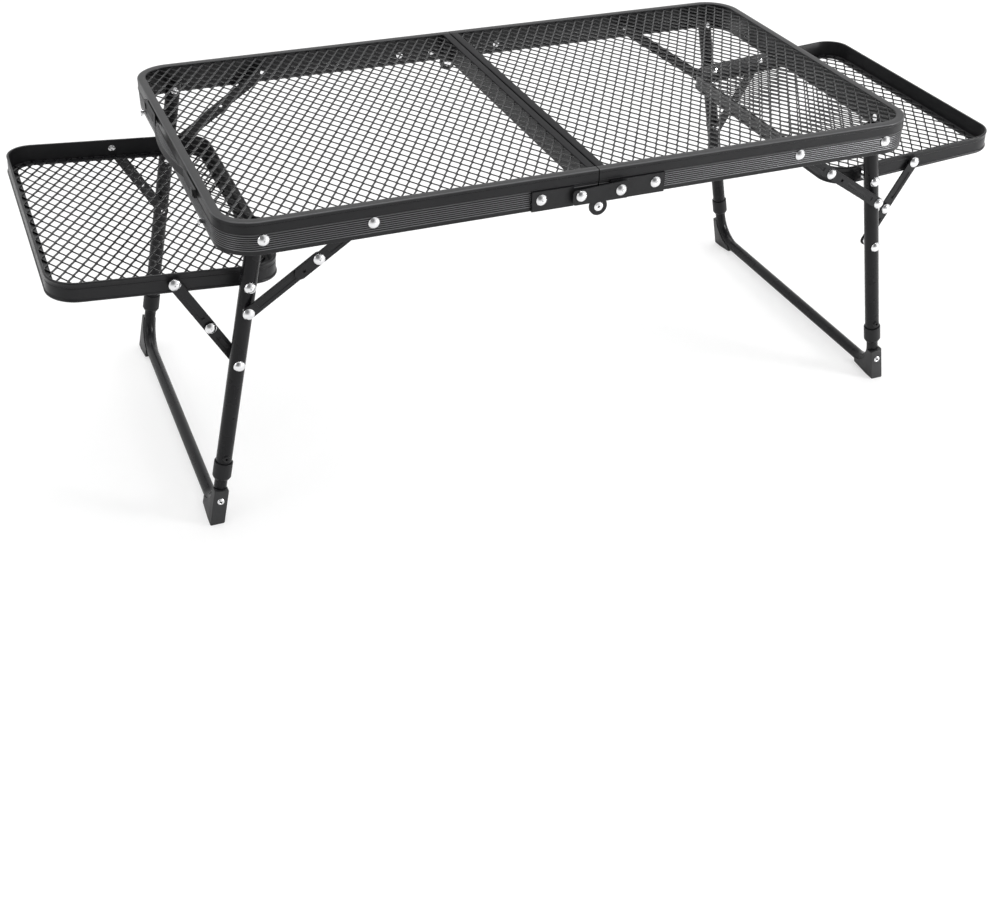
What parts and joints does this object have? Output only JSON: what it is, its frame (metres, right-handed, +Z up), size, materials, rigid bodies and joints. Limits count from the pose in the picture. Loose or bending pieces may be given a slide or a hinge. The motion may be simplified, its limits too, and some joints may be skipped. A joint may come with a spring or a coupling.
{
  "type": "folding camping table",
  "caption": "Low rectangular camping table with a black mesh top in two hinged halves, folding U-shaped legs with locking braces, and a folding mesh side wing at each end.",
  "frame": {"origin": "on the floor under the centre of the open table", "axes": "+X along the table towards the half without the carry strap, +Y across it to the far long side, +Z up"},
  "size_m": [1.0564, 0.4422, 0.34],
  "materials": {
    "painted_aluminium": "satin",
    "painted_steel": "satin",
    "mesh_coating": "satin",
    "bright_rivet": "polished",
    "black_plastic": "matte",
    "strap_black": "matte"
  },
  "bodies": {
    "left_half": {"left_side_frame": "painted_aluminium", "left_centre_bar": "painted_aluminium", "left_mesh": "mesh_coating", "left_bar_caps": "black_plastic", "left_hinge_plates": "painted_steel", "left_frame_rivets": "bright_rivet", "left_studs": "bright_rivet", "hinge_pins": "bright_rivet", "handle_strap": "strap_black", "handle_clips": "painted_steel"},
    "left_leg": {"left_upper_legs": "painted_steel", "left_collars": "black_plastic", "left_leg_rivets": "bright_rivet"},
    "left_lower_leg": {"left_lower_leg": "painted_steel", "left_feet": "black_plastic", "left_foot_rivets": "bright_rivet"},
    "left_near_button": {"left_near_button": "bright_rivet"},
    "left_far_button": {"left_far_button": "bright_rivet"},
    "left_wing": {"left_wing_rim": "painted_aluminium", "left_wing_mesh": "mesh_coating", "left_wing_rivets": "bright_rivet"},
    "left_brace_upper": {"left_brace_uppers": "painted_steel", "left_brace_mid_rivets": "bright_rivet"},
    "left_brace_lower": {"left_brace_lowers": "painted_steel"},
    "left_wing_brace_lower": {"left_wing_brace_lowers": "painted_steel", "left_wing_brace_mid_rivets": "bright_rivet"},
    "left_wing_brace_upper": {"left_wing_brace_uppers": "painted_steel"},
    "left_latch": {"left_latch_plate": "painted_steel", "left_latch_snap": "bright_rivet"},
    "right_half": {"right_side_frame": "painted_aluminium", "right_centre_bar": "painted_aluminium", "right_mesh": "mesh_coating", "right_bar_caps": "black_plastic", "right_hinge_plates": "painted_steel", "right_frame_rivets": "bright_rivet", "right_studs": "bright_rivet", "hook_pivots": "bright_rivet"},
    "right_leg": {"right_upper_legs": "painted_steel", "right_collars": "black_plastic", "right_leg_rivets": "bright_rivet"},
    "right_lower_leg": {"right_lower_leg": "painted_steel", "right_feet": "black_plastic", "right_foot_rivets": "bright_rivet"},
    "right_near_button": {"right_near_button": "bright_rivet"},
    "right_far_button": {"right_far_button": "bright_rivet"},
    "right_wing": {"right_wing_rim": "painted_aluminium", "right_wing_mesh": "mesh_coating", "right_wing_rivets": "bright_rivet"},
    "right_brace_upper": {"right_brace_uppers": "painted_steel", "right_brace_mid_rivets": "bright_rivet"},
    "right_brace_lower": {"right_brace_lowers": "painted_steel"},
    "right_wing_brace_lower": {"right_wing_brace_lowers": "painted_steel", "right_wing_brace_mid_rivets": "bright_rivet"},
    "right_wing_brace_upper": {"right_wing_brace_uppers": "painted_steel"},
    "right_latch": {"right_latch_plate": "painted_steel", "right_latch_snap": "bright_rivet"},
    "near_hook": {"near_hook": "bright_rivet"},
    "far_hook": {"far_hook": "bright_rivet"}
  },
  "joints": [
    {"name": "table_fold", "type": "hinge", "parent": "left_half", "child": "right_half", "pos_m": [0, 0, 0.30202], "axis": [0, 1, 0], "range_deg": [0, 95]},
    {"name": "left_leg_fold", "type": "hinge", "parent": "left_half", "child": "left_leg", "pos_m": [-0.336, 0, 0.32152], "axis": [0, -1, 0], "range_deg": [0, 102]},
    {"name": "left_leg_height", "type": "slide", "parent": "left_leg", "child": "left_lower_leg", "axis": [-0.2079, 0, -0.9781], "range_m": [-0.008, 0]},
    {"name": "left_near_button_press", "type": "slide", "parent": "left_leg", "child": "left_near_button", "axis": [0, 1, 0], "range_m": [0, 0.002], "stiffness_N_per_m": 50},
    {"name": "left_far_button_press", "type": "slide", "parent": "left_leg", "child": "left_far_button", "axis": [0, -1, 0], "range_m": [0, 0.002], "stiffness_N_per_m": 50},
    {"name": "left_wing_fold", "type": "hinge", "parent": "left_leg", "child": "left_wing", "pos_m": [-0.34806, 0, 0.26478], "axis": [0, -1, 0], "range_deg": [0, 82]},
    {"name": "left_brace_upper_turn", "type": "hinge", "parent": "left_half", "child": "left_brace_upper", "pos_m": [-0.231, 0, 0.32152], "axis": [0, -1, 0], "range_deg": [0, 146.69]},
    {"name": "left_brace_lower_turn", "type": "hinge", "parent": "left_leg", "child": "left_brace_lower", "pos_m": [-0.35305, 0, 0.24131], "axis": [0, -1, 0], "range_deg": [-135.31, 0]},
    {"name": "left_wing_brace_lower_turn", "type": "hinge", "parent": "left_leg", "child": "left_wing_brace_lower", "pos_m": [-0.36552, 0, 0.18262], "axis": [0, -1, 0], "range_deg": [0, 138.86]},
    {"name": "left_wing_brace_upper_turn", "type": "hinge", "parent": "left_wing", "child": "left_wing_brace_upper", "pos_m": [-0.4139, 0, 0.26939], "axis": [0, -1, 0], "range_deg": [-123.14, 0]},
    {"name": "left_latch_turn", "type": "hinge", "parent": "left_half", "child": "left_latch", "pos_m": [-0.0215, 0.2165, 0.31852], "axis": [0, -1, 0], "range_deg": [0, 180]},
    {"name": "right_leg_fold", "type": "hinge", "parent": "right_half", "child": "right_leg", "pos_m": [0.336, 0, 0.32152], "axis": [0, 1, 0], "range_deg": [0, 102]},
    {"name": "right_leg_height", "type": "slide", "parent": "right_leg", "child": "right_lower_leg", "axis": [0.2079, 0, -0.9781], "range_m": [-0.008, 0]},
    {"name": "right_near_button_press", "type": "slide", "parent": "right_leg", "child": "right_near_button", "axis": [0, 1, 0], "range_m": [0, 0.002], "stiffness_N_per_m": 50},
    {"name": "right_far_button_press", "type": "slide", "parent": "right_leg", "child": "right_far_button", "axis": [0, -1, 0], "range_m": [0, 0.002], "stiffness_N_per_m": 50},
    {"name": "right_wing_fold", "type": "hinge", "parent": "right_leg", "child": "right_wing", "pos_m": [0.34806, 0, 0.26478], "axis": [0, 1, 0], "range_deg": [0, 82]},
    {"name": "right_brace_upper_turn", "type": "hinge", "parent": "right_half", "child": "right_brace_upper", "pos_m": [0.231, 0, 0.32152], "axis": [0, 1, 0], "range_deg": [0, 146.69]},
    {"name": "right_brace_lower_turn", "type": "hinge", "parent": "right_leg", "child": "right_brace_lower", "pos_m": [0.35305, 0, 0.24131], "axis": [0, 1, 0], "range_deg": [-135.31, 0]},
    {"name": "right_wing_brace_lower_turn", "type": "hinge", "parent": "right_leg", "child": "right_wing_brace_lower", "pos_m": [0.36552, 0, 0.18262], "axis": [0, 1, 0], "range_deg": [0, 138.86]},
    {"name": "right_wing_brace_upper_turn", "type": "hinge", "parent": "right_wing", "child": "right_wing_brace_upper", "pos_m": [0.4139, 0, 0.26939], "axis": [0, 1, 0], "range_deg": [-123.14, 0]},
    {"name": "right_latch_turn", "type": "hinge", "parent": "right_half", "child": "right_latch", "pos_m": [0.0215, -0.2165, 0.31852], "axis": [0, 1, 0], "range_deg": [0, 180]},
    {"name": "near_hook_turn", "type": "hinge", "parent": "right_half", "child": "near_hook", "pos_m": [0.37725, -0.14, 0.31602], "axis": [-1, 0, 0], "range_deg": [0, 90]},
    {"name": "far_hook_turn", "type": "hinge", "parent": "right_half", "child": "far_hook", "pos_m": [0.37725, 0.14, 0.31602], "axis": [1, 0, 0], "range_deg": [0, 90]}
  ],
  "couplings": [
    {"joint": "left_wing_fold", "follows": "left_leg_fold", "ratio": 0.80392},
    {"joint": "left_brace_upper_turn", "follows": "left_leg_fold", "ratio": 1.4381},
    {"joint": "left_brace_lower_turn", "follows": "left_leg_fold", "ratio": -1.3266},
    {"joint": "left_wing_brace_lower_turn", "follows": "left_leg_fold", "ratio": 1.3614},
    {"joint": "left_wing_brace_upper_turn", "follows": "left_leg_fold", "ratio": -1.2073},
    {"joint": "right_wing_fold", "follows": "right_leg_fold", "ratio": 0.80392},
    {"joint": "right_brace_upper_turn", "follows": "right_leg_fold", "ratio": 1.4381},
    {"joint": "right_brace_lower_turn", "follows": "right_leg_fold", "ratio": -1.3266},
    {"joint": "right_wing_brace_lower_turn", "follows": "right_leg_fold", "ratio": 1.3614},
    {"joint": "right_wing_brace_upper_turn", "follows": "right_leg_fold", "ratio": -1.2073}
  ]
}
